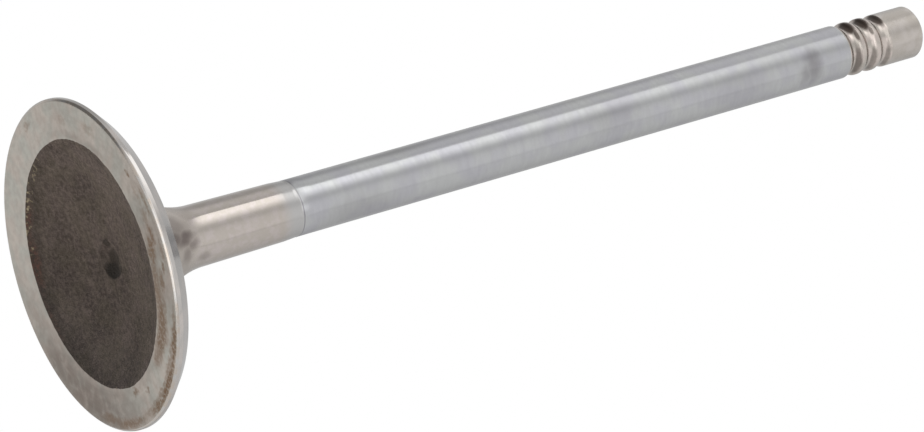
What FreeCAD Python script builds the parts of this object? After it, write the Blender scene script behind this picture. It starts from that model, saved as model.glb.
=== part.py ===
import FreeCAD, Part
import math
import os
import Sketcher

# A poppet valve of a large four-stroke engine, forged and turned as one piece of steel.
# It stands on its head: the face that meets the combustion chamber lies on z = 0, the stem
# points up along +Z, and the origin is the centre of that face. All lengths are millimetres.

# The driving sizes. Every one is a cell of the sheet, and the features read only those cells.
SIZES = [
    ("overall_length", 142.4, "face of the head to the end of the stem"),
    ("head_diameter", 45.6, "over the margin, the widest part of the head"),
    ("face_chamfer", 0.3, "broken edge between face and margin"),
    ("margin_height", 0.85, "face of the head to the start of the seat"),
    ("seat_width", 1.95, "radial width of the ground seat"),
    ("seat_angle", 45.0, "degrees from the plane of the head"),
    ("back_angle", 18.0, "degrees the back of the head rises from the plane of the head"),
    ("fillet_radius", 11.5, "sweep from the back of the head into the neck"),
    ("neck_taper", 0.8, "degrees the neck narrows towards the stem"),
    ("neck_height", 29.4, "face of the head to the end of the tapered neck"),
    ("neck_swell", 0.115, "radius by which the end of the neck is larger than the stem"),
    ("dish_diameter", 34.2, "forged hollow in the face"),
    ("dish_depth", 3.6, "forged hollow below the face, at its middle"),
    ("dish_offset", 0.65, "middle of the forged hollow, off the turned axis"),
    ("dish_turn", -15.0, "degrees round from -Y towards +X to where the hollow's middle lies"),
    ("dimple_diameter", 5.2, "small hollow in the dish, on the turned axis"),
    ("dimple_depth", 0.65, "below the bottom of the dish"),
    ("stem_diameter", 8.0, "plated and ground stem, the part that runs in the guide"),
    ("plating_height", 31.6, "face of the head to the start of the plated stem"),
    ("plating_step", 0.03, "radial step up to the plating from the short cone that ends the neck"),
    ("tip_relief", 0.05, "radius by which the hardened tip is smaller than the stem"),
    ("tip_chamfer", 0.4, "broken edge at the end of the stem"),
    ("groove_count", 3, "keeper grooves round the end of the stem"),
    ("groove_pitch", 2.8, "from groove to groove"),
    ("groove_radius", 1.2, "round bottom of each groove, as the keeper's beads"),
    ("groove_depth", 0.55, "below the surface of the stem"),
    ("groove_setback", 7.4, "last groove's middle to the end of the stem"),
    ("groove_edge_round", 0.45, "rolled edge of each land between the grooves"),
]


def make_sheet(doc):
    """Write the driving sizes to a spreadsheet, one named cell each."""
    sheet = doc.addObject("Spreadsheet::Sheet", "Sizes")
    for row, (name, value, meaning) in enumerate(SIZES, start=1):
        sheet.set(f"A{row}", meaning)
        sheet.set(f"B{row}", str(value))
        sheet.setAlias(f"B{row}", name)
    doc.recompute()
    return sheet


def half_plane_sketch(body, name):
    """Return a sketch on the XZ plane, where x is the radius and y the height up the stem."""
    sketch = body.newObject("Sketcher::SketchObject", name)
    plane = next(item for item in body.Origin.OriginFeatures if item.Role == "XZ_Plane")
    sketch.AttachmentSupport = (plane, "")
    sketch.MapMode = "FlatFace"
    return sketch


def point(x, y):
    return FreeCAD.Vector(x, y, 0)


def line(sketch, start, end):
    return sketch.addGeometry(Part.LineSegment(point(*start), point(*end)), False)


def arc(sketch, centre, radius, start_degrees, end_degrees):
    circle = Part.Circle(point(*centre), FreeCAD.Vector(0, 0, 1), radius)
    turn = Part.ArcOfCircle(circle, math.radians(start_degrees), math.radians(end_degrees))
    return sketch.addGeometry(turn, False)


def join(sketch, first, first_end, second, second_end):
    sketch.addConstraint(Sketcher.Constraint("Coincident", first, first_end, second, second_end))


def drive(sketch, name, constraint, expression):
    """Add a dimension to the sketch and bind it to the sheet."""
    index = sketch.addConstraint(constraint)
    sketch.renameConstraint(index, name)
    sketch.setExpression("Constraints." + name, expression)


def check_sketch(doc, sketch):
    doc.recompute()
    if sketch.solve() != 0 or not sketch.FullyConstrained:
        raise RuntimeError(f"{sketch.Name} is not fully constrained")


# A line's or arc's own points and the sketch's two axes, as the sketcher counts them.
START, END, CENTRE = range(1, 4)
AXIS_H, AXIS_V = range(-1, -3, -1)
ORIGIN = (AXIS_H, START)

# Two edges closer than this are the same one, and a cut that takes less than this is no cut.
SAME_PLACE = 1e-6
NO_CUT = 1e-6


def draw_blank(sketch, size):
    """Half of the valve's section, from the face's centre round to the end of the stem."""
    head_r = size.head_diameter / 2
    stem_r = size.stem_diameter / 2
    neck_r = stem_r + size.neck_swell
    cone_r = stem_r - size.plating_step
    tip_r = stem_r - size.tip_relief
    seat_end_r = head_r - size.seat_width
    seat_top = size.margin_height + size.seat_width * math.tan(math.radians(size.seat_angle))
    tip_start = size.overall_length - size.groove_setback
    back = math.radians(size.back_angle)
    taper = math.radians(size.neck_taper)

    # Where the sweep's centre must lie to touch both the back of the head and the tapered neck.
    back_normal = (math.sin(back), math.cos(back))
    neck_normal = (math.cos(taper), math.sin(taper))
    back_offset = back_normal[0] * seat_end_r + back_normal[1] * seat_top + size.fillet_radius
    neck_offset = neck_normal[0] * neck_r + neck_normal[1] * size.neck_height + size.fillet_radius
    spread = back_normal[0] * neck_normal[1] - back_normal[1] * neck_normal[0]
    centre = (
        (back_offset * neck_normal[1] - back_normal[1] * neck_offset) / spread,
        (back_normal[0] * neck_offset - back_offset * neck_normal[0]) / spread,
    )
    back_touch = (
        centre[0] - size.fillet_radius * back_normal[0],
        centre[1] - size.fillet_radius * back_normal[1],
    )
    neck_touch = (
        centre[0] - size.fillet_radius * neck_normal[0],
        centre[1] - size.fillet_radius * neck_normal[1],
    )

    face = line(sketch, (0, 0), (head_r, 0))
    margin = line(sketch, (head_r, 0), (head_r, size.margin_height))
    seat = line(sketch, (head_r, size.margin_height), (seat_end_r, seat_top))
    back_line = line(sketch, (seat_end_r, seat_top), back_touch)
    sweep = arc(sketch, centre, size.fillet_radius, 180 + size.neck_taper, 270 - size.back_angle)
    neck = line(sketch, neck_touch, (neck_r, size.neck_height))
    cone = line(sketch, (neck_r, size.neck_height), (cone_r, size.plating_height))
    bevel_top = size.plating_height + size.plating_step
    bevel = line(sketch, (cone_r, size.plating_height), (stem_r, bevel_top))
    stem = line(sketch, (stem_r, bevel_top), (stem_r, tip_start))
    relief = line(sketch, (stem_r, tip_start), (tip_r, tip_start))
    tip = line(sketch, (tip_r, tip_start), (tip_r, size.overall_length))
    end = line(sketch, (tip_r, size.overall_length), (0, size.overall_length))
    axis = line(sketch, (0, size.overall_length), (0, 0))

    join(sketch, face, START, *ORIGIN)
    join(sketch, face, END, margin, START)
    join(sketch, margin, END, seat, START)
    join(sketch, seat, END, back_line, START)
    sketch.addConstraint(Sketcher.Constraint("Tangent", back_line, END, sweep, END))
    sketch.addConstraint(Sketcher.Constraint("Tangent", sweep, START, neck, START))
    join(sketch, neck, END, cone, START)
    join(sketch, cone, END, bevel, START)
    join(sketch, bevel, END, stem, START)
    join(sketch, stem, END, relief, START)
    join(sketch, relief, END, tip, START)
    join(sketch, tip, END, end, START)
    join(sketch, end, END, axis, START)
    join(sketch, axis, END, *ORIGIN)
    for flat in (face, relief, end):
        sketch.addConstraint(Sketcher.Constraint("Horizontal", flat))
    for upright in (margin, stem, tip, axis):
        sketch.addConstraint(Sketcher.Constraint("Vertical", upright))

    def across(name, geometry, geometry_end, expression, value):
        distance = Sketcher.Constraint("DistanceX", *ORIGIN, geometry, geometry_end, value)
        drive(sketch, name, distance, expression)

    def up(name, geometry, geometry_end, expression, value):
        distance = Sketcher.Constraint("DistanceY", *ORIGIN, geometry, geometry_end, value)
        drive(sketch, name, distance, expression)

    across("head_radius", face, END, "Sizes.head_diameter / 2", head_r)
    up("margin", margin, END, "Sizes.margin_height", size.margin_height)
    across("seat_end", seat, END, "Sizes.head_diameter / 2 - Sizes.seat_width", seat_end_r)
    seat_top_cell = "Sizes.margin_height + Sizes.seat_width * tan(Sizes.seat_angle * 1 deg)"
    up("seat_top", seat, END, seat_top_cell, seat_top)
    drive(
        sketch, "back_slope",
        Sketcher.Constraint("Angle", back_line, END, AXIS_H, START, back),
        "Sizes.back_angle * 1 deg",
    )
    drive(sketch, "sweep", Sketcher.Constraint("Radius", sweep, size.fillet_radius), "Sizes.fillet_radius")
    drive(
        sketch, "neck_slope",
        Sketcher.Constraint("Angle", neck, END, axis, START, taper),
        "Sizes.neck_taper * 1 deg",
    )
    across("neck_radius", neck, END, "Sizes.stem_diameter / 2 + Sizes.neck_swell", neck_r)
    up("neck_end", neck, END, "Sizes.neck_height", size.neck_height)
    across("cone_radius", cone, END, "Sizes.stem_diameter / 2 - Sizes.plating_step", cone_r)
    up("plating", cone, END, "Sizes.plating_height", size.plating_height)
    across("stem_radius", stem, START, "Sizes.stem_diameter / 2", stem_r)
    up("bevel_top", stem, START, "Sizes.plating_height + Sizes.plating_step", bevel_top)
    up("tip_start", stem, END, "Sizes.overall_length - Sizes.groove_setback", tip_start)
    across("tip_radius", tip, START, "Sizes.stem_diameter / 2 - Sizes.tip_relief", tip_r)
    up("length", tip, END, "Sizes.overall_length", size.overall_length)


def draw_bowl(sketch, ball, depth, ball_cell, depth_cell):
    """Half the section of a round hollow, a ball of that radius reaching that far into the head."""
    rim_radius = math.sqrt(depth * (2 * ball - depth))
    rim_degrees = math.degrees(math.asin((ball - depth) / ball))
    mouth = line(sketch, (0, 0), (rim_radius, 0))
    bowl = arc(sketch, (0, depth - ball), ball, rim_degrees, 90)
    axis = line(sketch, (0, depth), (0, 0))
    join(sketch, mouth, END, bowl, START)
    join(sketch, bowl, END, axis, START)
    join(sketch, axis, END, mouth, START)
    join(sketch, mouth, START, *ORIGIN)
    sketch.addConstraint(Sketcher.Constraint("Horizontal", mouth))
    sketch.addConstraint(Sketcher.Constraint("PointOnObject", bowl, END, AXIS_V))
    sketch.addConstraint(Sketcher.Constraint("PointOnObject", bowl, CENTRE, AXIS_V))
    drive(sketch, "ball", Sketcher.Constraint("Radius", bowl, ball), ball_cell)
    drive(sketch, "depth", Sketcher.Constraint("Distance", axis, depth), depth_cell)


def draw_groove(sketch, size):
    """The round bead that rolls or grinds one keeper groove, set at the groove nearest the end."""
    middle = (
        size.stem_diameter / 2 - size.groove_depth + size.groove_radius,
        size.overall_length - size.groove_setback,
    )
    circle = Part.Circle(point(*middle), FreeCAD.Vector(0, 0, 1), size.groove_radius)
    bead = sketch.addGeometry(circle, False)
    drive(sketch, "bead", Sketcher.Constraint("Radius", bead, size.groove_radius), "Sizes.groove_radius")
    drive(
        sketch, "reach",
        Sketcher.Constraint("DistanceX", *ORIGIN, bead, CENTRE, middle[0]),
        "Sizes.stem_diameter / 2 - Sizes.groove_depth + Sizes.groove_radius",
    )
    drive(
        sketch, "height",
        Sketcher.Constraint("DistanceY", *ORIGIN, bead, CENTRE, middle[1]),
        "Sizes.overall_length - Sizes.groove_setback",
    )


def turn_feature(doc, body, kind, name, sketch):
    """Revolve a sketch a whole turn about the valve's axis, to add (Revolution) or cut (Groove)."""
    feature = body.newObject("PartDesign::" + kind, name)
    feature.Profile = sketch
    feature.ReferenceAxis = (sketch, ["V_Axis"])
    feature.Angle = 360
    doc.recompute()
    return feature


def edges_where(shape, test):
    """Names of the circular edges of shape whose radius and height pass the test."""
    names = []
    for index, edge in enumerate(shape.Edges, start=1):
        # The bottom of a hollow is a single point, an edge with no curve of its own.
        if edge.Degenerated or not isinstance(edge.Curve, Part.Circle):
            continue
        if test(edge.Curve.Radius, edge.Curve.Center.z):
            names.append(f"Edge{index}")
    return names


def must_cut(before, after, what):
    """Stop if a cutting feature took nothing away, or left something that is not one solid."""
    if after.Shape.Volume >= before.Shape.Volume - NO_CUT:
        raise RuntimeError(f"{what} cut nothing")
    if len(after.Shape.Solids) != 1:
        raise RuntimeError(f"{what} left {len(after.Shape.Solids)} solids")


def make_valve(doc, size):
    body = doc.addObject("PartDesign::Body", "Valve")
    body.Label = "valve"

    section = half_plane_sketch(body, "Section")
    draw_blank(section, size)
    check_sketch(doc, section)
    blank = turn_feature(doc, body, "Revolution", "TurnedBlank", section)

    # The hollow in the face is as forged, a little off the turned axis. Facing leaves its edge sharp.
    dish_ball = (size.dish_diameter ** 2 / 4 + size.dish_depth ** 2) / (2 * size.dish_depth)
    dish_cell = "((Sizes.dish_diameter ^ 2 / 4 + Sizes.dish_depth ^ 2) / (2 * Sizes.dish_depth))"
    dish_sketch = half_plane_sketch(body, "DishSection")
    dish_sketch.setExpression("AttachmentOffset.Base.x", "Sizes.dish_offset * sin(Sizes.dish_turn * 1 deg)")
    dish_sketch.setExpression("AttachmentOffset.Base.z", "Sizes.dish_offset * cos(Sizes.dish_turn * 1 deg)")
    draw_bowl(dish_sketch, dish_ball, size.dish_depth, dish_cell, "Sizes.dish_depth")
    check_sketch(doc, dish_sketch)
    dish = turn_feature(doc, body, "Groove", "Dish", dish_sketch)
    must_cut(blank, dish, "the dish")

    # The dimple's ball is as wide as the dimple where the dish, were it on the axis, would meet it.
    dimple_sag = dish_ball - math.sqrt(dish_ball ** 2 - size.dimple_diameter ** 2 / 4)
    dimple_rise = size.dimple_depth + dimple_sag
    dimple_ball = (size.dimple_diameter ** 2 / 4 + dimple_rise ** 2) / (2 * dimple_rise)
    sag_cell = f"({dish_cell} - sqrt({dish_cell} ^ 2 - Sizes.dimple_diameter ^ 2 / 4))"
    rise_cell = f"(Sizes.dimple_depth + {sag_cell})"
    dimple_cell = f"(Sizes.dimple_diameter ^ 2 / 4 + {rise_cell} ^ 2) / (2 * {rise_cell})"
    dimple_top = size.dish_depth + size.dimple_depth
    dimple_sketch = half_plane_sketch(body, "DimpleSection")
    draw_bowl(dimple_sketch, dimple_ball, dimple_top, dimple_cell, "Sizes.dish_depth + Sizes.dimple_depth")
    check_sketch(doc, dimple_sketch)
    dimple = turn_feature(doc, body, "Groove", "Dimple", dimple_sketch)
    must_cut(dish, dimple, "the dimple")

    # One keeper groove at the end of the stem, then the others below it.
    groove_sketch = half_plane_sketch(body, "GrooveSection")
    draw_groove(groove_sketch, size)
    check_sketch(doc, groove_sketch)
    groove = turn_feature(doc, body, "Groove", "KeeperGroove", groove_sketch)
    must_cut(dimple, groove, "the keeper groove")
    grooves = body.newObject("PartDesign::LinearPattern", "KeeperGrooves")
    grooves.Originals = [groove]
    grooves.Direction = (groove_sketch, ["V_Axis"])
    grooves.Reversed = True
    grooves.Mode = "Extent"
    grooves.setExpression("Occurrences", "Sizes.groove_count")
    grooves.setExpression("Length", "Sizes.groove_pitch * (Sizes.groove_count - 1)")
    body.Tip = grooves
    doc.recompute()
    must_cut(groove, grooves, "the row of keeper grooves")

    # The rolled edges on both sides of every groove, never wider than the land leaves room for.
    stem_r = size.stem_diameter / 2
    first_groove = size.overall_length - size.groove_setback - size.groove_pitch * (size.groove_count - 1)
    bead_out = size.groove_radius - size.groove_depth
    half_width = math.sqrt(size.groove_radius ** 2 - bead_out ** 2)
    lands = edges_where(
        grooves.Shape,
        lambda radius, z: radius > stem_r - size.groove_depth / 2
        and first_groove - 2 * half_width < z < size.overall_length - size.groove_setback + 2 * half_width,
    )
    land_edges = body.newObject("PartDesign::Fillet", "GrooveEdges")
    land_edges.Base = (grooves, lands)
    half_width_cell = "sqrt(Sizes.groove_radius ^ 2 - (Sizes.groove_radius - Sizes.groove_depth) ^ 2)"
    # The share of its radius that a rolled edge takes off the flat of the land.
    take_cell = "sqrt(Sizes.groove_depth / (2 * Sizes.groove_radius - Sizes.groove_depth))"
    room_cell = f"0.45 * (Sizes.groove_pitch - 2 * {half_width_cell}) / {take_cell}"
    land_edges.setExpression("Radius", f"min(Sizes.groove_edge_round; {room_cell})")
    doc.recompute()
    must_cut(grooves, land_edges, "rolling the groove edges")

    end_edge = edges_where(
        land_edges.Shape, lambda radius, z: abs(z - size.overall_length) < SAME_PLACE
    )
    tip_chamfer = body.newObject("PartDesign::Chamfer", "TipChamfer")
    tip_chamfer.Base = (land_edges, end_edge)
    tip_chamfer.setExpression("Size", "Sizes.tip_chamfer")
    doc.recompute()
    must_cut(land_edges, tip_chamfer, "the tip chamfer")

    head_r = size.head_diameter / 2
    face_edge = edges_where(
        tip_chamfer.Shape,
        lambda radius, z: abs(z) < SAME_PLACE and abs(radius - head_r) < SAME_PLACE,
    )
    face_chamfer = body.newObject("PartDesign::Chamfer", "FaceChamfer")
    face_chamfer.Base = (tip_chamfer, face_edge)
    face_chamfer.setExpression("Size", "Sizes.face_chamfer")
    doc.recompute()
    must_cut(tip_chamfer, face_chamfer, "the face chamfer")
    return body


def check_document(doc):
    """Stop on any object that failed to recompute, which the recompute itself does not report."""
    for item in doc.Objects:
        if "Invalid" in item.State or "Error" in item.State:
            raise RuntimeError(f"{item.Name} failed: {item.State}")


def export(body):
    shape = body.Shape
    if shape.isNull() or not shape.isValid() or len(shape.Solids) != 1:
        raise RuntimeError(f"{body.Label} is not one valid solid")
    shape.exportStep(f"parts/{body.Label}.step")
    box = shape.BoundBox
    print(f"{body.Label}: {shape.Volume / 1000:.3f} cm3")
    print(f"z {box.ZMin:.3f} to {box.ZMax:.3f}, width {box.XLength:.3f}")


def main():
    os.makedirs("parts", exist_ok=True)
    doc = FreeCAD.newDocument("EngineValve")
    sheet = make_sheet(doc)
    valve = make_valve(doc, sheet)
    doc.recompute()
    check_document(doc)
    export(valve)


main()
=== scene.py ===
"""An engine valve, turned from its half section and finished zone by zone, on a plain pale stage.

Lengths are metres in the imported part's frame: the valve stands on its head, the stem points up +Z, and
the origin is the centre of the face. A turn is an angle round the axis, from -Y towards +X.
"""

import math

import bpy
from bpy.props import FloatProperty, FloatVectorProperty, IntProperty, PointerProperty
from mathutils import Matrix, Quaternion, Vector, noise


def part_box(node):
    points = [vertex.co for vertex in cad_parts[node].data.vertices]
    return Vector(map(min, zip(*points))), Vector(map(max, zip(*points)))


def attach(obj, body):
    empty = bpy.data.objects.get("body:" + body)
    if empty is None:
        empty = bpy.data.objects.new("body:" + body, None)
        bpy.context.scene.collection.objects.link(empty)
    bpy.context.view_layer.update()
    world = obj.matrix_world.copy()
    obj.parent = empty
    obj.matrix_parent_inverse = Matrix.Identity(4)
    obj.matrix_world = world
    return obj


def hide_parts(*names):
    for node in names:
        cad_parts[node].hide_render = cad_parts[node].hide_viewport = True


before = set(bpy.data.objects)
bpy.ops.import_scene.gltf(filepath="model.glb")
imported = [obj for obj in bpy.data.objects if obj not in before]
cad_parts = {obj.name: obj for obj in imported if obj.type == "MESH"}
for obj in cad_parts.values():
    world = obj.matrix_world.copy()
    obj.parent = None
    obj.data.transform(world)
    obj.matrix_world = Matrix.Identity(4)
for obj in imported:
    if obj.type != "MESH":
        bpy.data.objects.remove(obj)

bl_info = {
    "name": "Engine valve",
    "version": (1, 0, 0),
    "blender": (4, 5, 0),
    "location": "3D View > Sidebar > Valve",
    "description": "Turns an engine valve, finishes its steel and sets a plain studio round it",
    "category": "Object",
}

MM = 0.001
CAD_LOW, CAD_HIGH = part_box("valve")
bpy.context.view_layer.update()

# The finishes, in the order of the mesh's material slots.
FINISHES = (
    "forge_scale", "faced_ring", "broken_edge", "ground_seat", "turned_back",
    "polished_neck", "hard_chrome", "keeper_groove", "ground_tip",
)

# How far apart the mesh's rings lie, along the section. The dish's are close, because its scale is modelled.
DISH_STEP = 0.27 * MM
RING_STEP = 0.7 * MM
EDGE_STEP = 0.6 * MM
BACK_STEP = 1.0 * MM
SWEEP_STEP = 0.6 * MM
NECK_STEP = 1.5 * MM
STEM_STEP = 2.5 * MM
BEAD_STEP = 0.08 * MM
TIP_STEP = 1.0 * MM

# The radius to which each corner of the section has been worn or stoned.
WORN_DIMPLE = 0.12 * MM
WORN_DISH = 0.05 * MM
WORN_FACE = 0.4 * MM
WORN_RIM = 0.38 * MM
WORN_MARGIN = 0.1 * MM
WORN_SEAT = 0.25 * MM
WORN_NECK = 0.4 * MM
WORN_TIP = 0.08 * MM

# The forge scale's relief as (width, share of the height, place in the noise): waves, lumps and grain.
SCALE_NOISE = (
    (6.0 * MM, 1.2, Vector((3.1, 7.7, 1.3))),
    (1.6 * MM, 0.8, Vector((11.2, 2.4, 5.9))),
    (0.7 * MM, 1.0, Vector((0.7, 9.3, 4.4))),
)

# How a Mix node is set to mix colours, with its inputs and its output then.
COLOURS = {"data_type": "RGBA"}
FACTOR, FIRST, SECOND, MIXED = 0, 6, 7, 2


# Sizes, colours and stage, as a user would change them.

def linear(hex_colour):
    """Turn an sRGB colour written as hex into the linear values that shaders take."""
    shares = [int(hex_colour[k:k + 2], 16) / 255 for k in (1, 3, 5)]
    return tuple(c / 12.92 if c <= 0.04045 else ((c + 0.055) / 1.055) ** 2.4 for c in shares)


def length(name, description, metres):
    return FloatProperty(
        name=name, description=description, default=metres, min=0.0, precision=5, unit="LENGTH",
    )


def angle(name, description, degrees):
    return FloatProperty(
        name=name, description=description, default=math.radians(degrees), unit="ROTATION",
    )


def colour(name, description, hex_colour):
    return FloatVectorProperty(
        name=name, description=description, default=linear(hex_colour), size=3,
        min=0.0, max=1.0, subtype="COLOR",
    )


def level(name, description, default):
    return FloatProperty(name=name, description=description, default=default, min=0.0, max=10.0)


class ValveSizes(bpy.types.PropertyGroup):
    overall_length: length("Length", "Face of the head to the end of the stem", CAD_HIGH.z - CAD_LOW.z)
    head_diameter: length("Head", "Diameter over the margin", CAD_HIGH.x - CAD_LOW.x)
    face_chamfer: length("Face chamfer", "Broken edge between face and margin", 0.3 * MM)
    margin_height: length("Margin", "Face of the head to the start of the seat", 0.85 * MM)
    seat_width: length("Seat width", "Radial width of the ground seat", 1.95 * MM)
    seat_angle: angle("Seat angle", "Seat, from the plane of the head", 45)
    back_angle: angle("Back angle", "Back of the head, from the plane of the head", 18)
    fillet_radius: length("Sweep", "Radius from the back of the head into the neck", 11.5 * MM)
    neck_taper: angle("Neck taper", "How the neck narrows towards the stem", 0.8)
    neck_height: length("Neck ends", "Face of the head to the end of the tapered neck", 29.4 * MM)
    neck_swell: length("Neck swell", "End of the neck larger than the stem, radially", 0.115 * MM)
    dish_diameter: length("Dish", "Forged hollow in the face, across", 34.2 * MM)
    dish_depth: length("Dish depth", "Forged hollow, below the face", 3.6 * MM)
    dish_offset: length("Dish offset", "Middle of the forged hollow, off the turned axis", 0.65 * MM)
    dish_turn: angle("Dish turn", "Round from -Y towards +X to where the hollow's middle lies", -15)
    dimple_diameter: length("Dimple", "Small hollow in the dish, on the turned axis, across", 5.2 * MM)
    dimple_depth: length("Dimple depth", "Below the bottom of the dish", 0.65 * MM)
    stem_diameter: length("Stem", "Plated and ground stem", 8.0 * MM)
    plating_height: length("Plating starts", "Face of the head to the plated stem", 31.6 * MM)
    plating_step: length("Plating step", "From the neck's short cone up to the plating, radially", 0.03 * MM)
    tip_relief: length("Tip relief", "Tip smaller than the stem, radially", 0.05 * MM)
    tip_chamfer: length("Tip chamfer", "Broken edge at the end of the stem", 0.4 * MM)
    groove_count: IntProperty(name="Grooves", description="Keeper grooves", default=3, min=1, max=5)
    groove_pitch: length("Groove pitch", "From groove to groove", 2.8 * MM)
    groove_radius: length("Groove radius", "Round bottom of each keeper groove", 1.2 * MM)
    groove_depth: length("Groove depth", "Below the surface of the stem", 0.55 * MM)
    groove_setback: length("Groove setback", "Middle of the last groove to the end", 7.4 * MM)
    groove_edge_round: length("Groove edge", "Rolled edge of each land", 0.45 * MM)
    scale_relief: length("Scale relief", "Height of the forge scale's lumps", 0.05 * MM)
    dish_wander: length("Dish edge", "How far the dish's edge wanders", 0.12 * MM)
    segments: IntProperty(name="Segments", description="Faces round the valve", default=300, min=48)


class ValveFinish(bpy.types.PropertyGroup):
    scale: colour("Scale", "Forge scale in the dish", "#2b221c")
    # Worn high spots of the scale, also painted light on the peaks of its grain.
    scale_worn_and_lit_peaks: colour("Worn scale, lit peaks", "High spots of the forge scale", "#594d46")
    scale_olive: colour("Olive scale", "Greener patches of the forge scale", "#47412f")
    scale_rust: colour("Rust", "Rust by the edge of the dish", "#5c382b")
    # Soot and painted shade in the dimple, and painted shade by the dish's edge.
    dimple_soot_and_shade: colour("Dimple soot and shade", "Soot and painted shade in the dish's dimple and by its edge", "#1a130a")
    bare: colour("Bare steel", "Flecks where the scale has chipped", "#968970")
    faced: colour("Faced steel", "Turned ring round the dish", "#aea59c")
    faced_cool: colour("Faced steel, cool", "Greenish tint on the ring", "#a6a49c")
    stain: colour("Stain", "Burnt oil on the ring", "#6b543e")
    soot: colour("Soot", "Brown veil on the ring", "#62564d")
    stem_soot: colour("Stem soot", "Grey veil on the stem", "#6b666b")
    neck_dark_patch: colour("Neck dark patch", "Darker patches at the foot of the neck", "#5a504e")
    edge: colour("Broken edge", "Edge of the face, and duller patches of the seat", "#aeaba8")
    seat: colour("Seat", "Ground margin and seat", "#bab4b0")
    back: colour("Back", "Turned back of the head", "#a9a29b")
    neck: colour("Neck", "Polished neck", "#b3aba7")
    neck_dull: colour("Neck, dull", "Greyer patches on the neck", "#ada69f")
    neck_cool: colour("Neck, cool", "Short cone where the neck meets the plating", "#acabaa")
    chrome: colour("Chrome", "Hard chrome on the stem", "#aeafaf")
    chrome_cool: colour("Chrome, violet", "Violet tint of the chrome", "#a9a9ad")
    groove: colour("Groove", "Steel of the keeper grooves", "#bfb5af")
    groove_stain_and_shade: colour("Groove stain and shade", "Burnt oil and painted shade in the keeper grooves", "#4b423d")
    tip: colour("Tip", "Hardened end of the stem", "#b6b0ab")
    tip_dull: colour("Tip, dull", "Duller patches on the tip and in the grooves", "#aca69f")


class StageSettings(bpy.types.PropertyGroup):
    camera_place: FloatVectorProperty(
        name="Camera", description="Where the camera stands", size=3, precision=6,
        default=(-0.000082, -0.493936, -0.243630), subtype="TRANSLATION", unit="LENGTH",
    )
    camera_aim: FloatVectorProperty(
        name="Aim", description="What the camera looks at", size=3, precision=6,
        default=(0.007636, -0.000113, 0.057932), subtype="TRANSLATION", unit="LENGTH",
    )
    camera_roll: angle("Roll", "Camera's turn about its line of sight", 73.56)
    lens: FloatProperty(name="Lens", description="Focal length in millimetres", default=161.27, min=1.0)
    floor: colour("Floor", "Pale floor", "#f4f3f2")
    floor_radius: length("Floor radius", "Where the floor has faded away", 1.6)
    tent_radius: length("Tent radius", "Light tent that the steel reflects", 1.2)
    window: level("Window", "Brightness of the tent's window beside the stem", 2.15)
    low_window: level("Low window", "Brightness of the tent's window below the head", 2.3)
    flag: level("Dark flag", "Brightness of the dark flag below and behind the head", 0.25)
    side_flag: level("Side flag", "Brightness of the grey flag beside the window", 0.6)
    groove_card: level("Groove card", "Brightness of the cards that the keeper grooves show", 1.6)
    side_card: level("Side card", "Brightness of the card above the side flag", 1.05)
    top_card: level("Top card", "Brightness of the card above and behind, which the seat shows", 0.68)
    fill: level("Fill", "Even light from all sides on rough surfaces", 0.5)
    dish_lamp: level("Dish lamp", "Low lamp that rakes across the dish", 1.0)
    top_lamp: level("Top lamp", "Broad lamp overhead", 0.5)


# The half section, as (radius, height) points from the middle of the dish out and up to the stem's end.

def straight(start, end, step):
    """Evenly spaced points from start to end, both included."""
    count = max(1, math.ceil(math.dist(start, end) / step))
    return [
        (start[0] + (end[0] - start[0]) * k / count, start[1] + (end[1] - start[1]) * k / count)
        for k in range(count + 1)
    ]


def bow(centre, radius, first, last, step):
    """Points on an arc about centre, from one angle to another in radians, both included."""
    count = max(2, math.ceil(abs(last - first) * radius / step))
    angles = [first + (last - first) * k / count for k in range(count + 1)]
    return [(centre[0] + radius * math.cos(a), centre[1] + radius * math.sin(a)) for a in angles]


def hollow(mouth_radius, mouth_height, depth, start_radius, step):
    """The section of a round hollow that is depth deep, from start_radius out to its mouth."""
    sphere = (mouth_radius ** 2 + depth ** 2) / (2 * depth)
    centre = (0.0, mouth_height + depth - sphere)
    return bow(centre, sphere, math.acos(start_radius / sphere), math.acos(mouth_radius / sphere), step)


def head_runs(size):
    """The face and rim, as (finish, points, rounding of the corner that ends them)."""
    head_r = size.head_diameter / 2
    dish_r = size.dish_diameter / 2
    dimple_r = size.dimple_diameter / 2
    chamfer = size.face_chamfer
    dish_sphere = (dish_r ** 2 + size.dish_depth ** 2) / (2 * size.dish_depth)
    sag = dish_sphere - math.sqrt(dish_sphere ** 2 - dimple_r ** 2)
    mouth = size.dish_depth - sag
    seat_end = (
        head_r - size.seat_width,
        size.margin_height + size.seat_width * math.tan(size.seat_angle),
    )
    rim = (head_r, chamfer)
    margin_top = (head_r, size.margin_height)
    return [
        ("forge_scale", hollow(dimple_r, mouth, size.dimple_depth + sag, 0.0, DISH_STEP), WORN_DIMPLE),
        ("forge_scale", hollow(dish_r, 0.0, size.dish_depth, dimple_r, DISH_STEP), WORN_DISH),
        ("faced_ring", straight((dish_r, 0.0), (head_r - chamfer, 0.0), RING_STEP), WORN_FACE),
        ("broken_edge", straight((head_r - chamfer, 0.0), rim, EDGE_STEP), WORN_RIM),
        ("ground_seat", straight(rim, margin_top, EDGE_STEP), WORN_MARGIN),
        ("ground_seat", straight(margin_top, seat_end, EDGE_STEP), WORN_SEAT),
    ]


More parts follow.
